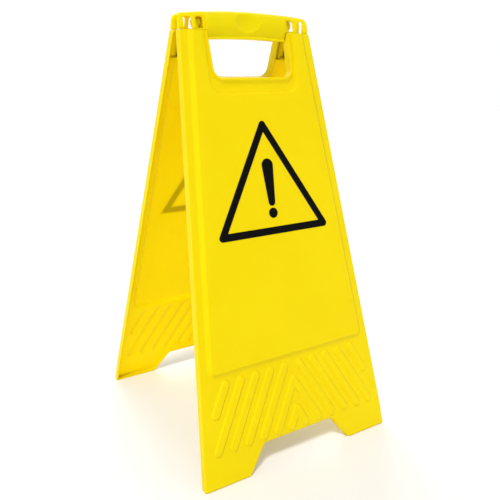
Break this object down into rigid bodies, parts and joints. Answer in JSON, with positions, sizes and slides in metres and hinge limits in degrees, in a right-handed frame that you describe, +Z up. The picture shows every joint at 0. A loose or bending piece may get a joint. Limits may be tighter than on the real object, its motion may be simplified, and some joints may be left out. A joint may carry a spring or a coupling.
{
  "type": "folding wet floor sign",
  "caption": "Free-standing yellow plastic A-frame floor sign with two hinged leaves, a carrying grip and a black warning triangle on each face.",
  "frame": {"origin": "on the floor, midway between the four feet, with the sign standing open", "axes": "+Z up, +X across the sign to the right of someone who reads the front leaf, front leaf on the -Y side and back leaf on the +Y side"},
  "size_m": [0.3102, 0.3454, 0.596],
  "materials": {
    "leaf_plastic": "injection-moulded polypropylene, soft sheen",
    "handle_plastic": "injection-moulded polypropylene, soft sheen",
    "pin_plastic": "moulded plastic",
    "print_ink": "screen-printed black ink"
  },
  "bodies": {
    "handle": {"handle": "handle_plastic", "hinge_pin_right": "pin_plastic", "hinge_pin_left": "pin_plastic"},
    "front_leaf": {"front_leaf": "leaf_plastic", "front_hinge_lug_right": "leaf_plastic", "front_hinge_lug_left": "leaf_plastic", "front_warning_triangle": "print_ink", "front_exclamation_bar": "print_ink", "front_exclamation_dot": "print_ink"},
    "back_leaf": {"back_leaf": "leaf_plastic", "back_hinge_lug_right": "leaf_plastic", "back_hinge_lug_left": "leaf_plastic", "back_warning_triangle": "print_ink", "back_exclamation_bar": "print_ink", "back_exclamation_dot": "print_ink"}
  },
  "joints": [
    {"name": "front_leaf_hinge", "type": "hinge", "parent": "handle", "child": "front_leaf", "pos_m": [0, 0, 0.5805], "axis": [1, 0, 0], "range_deg": [0, 15.5]},
    {"name": "back_leaf_hinge", "type": "hinge", "parent": "handle", "child": "back_leaf", "pos_m": [0, 0, 0.5805], "axis": [-1, 0, 0], "range_deg": [0, 15.5]}
  ]
}
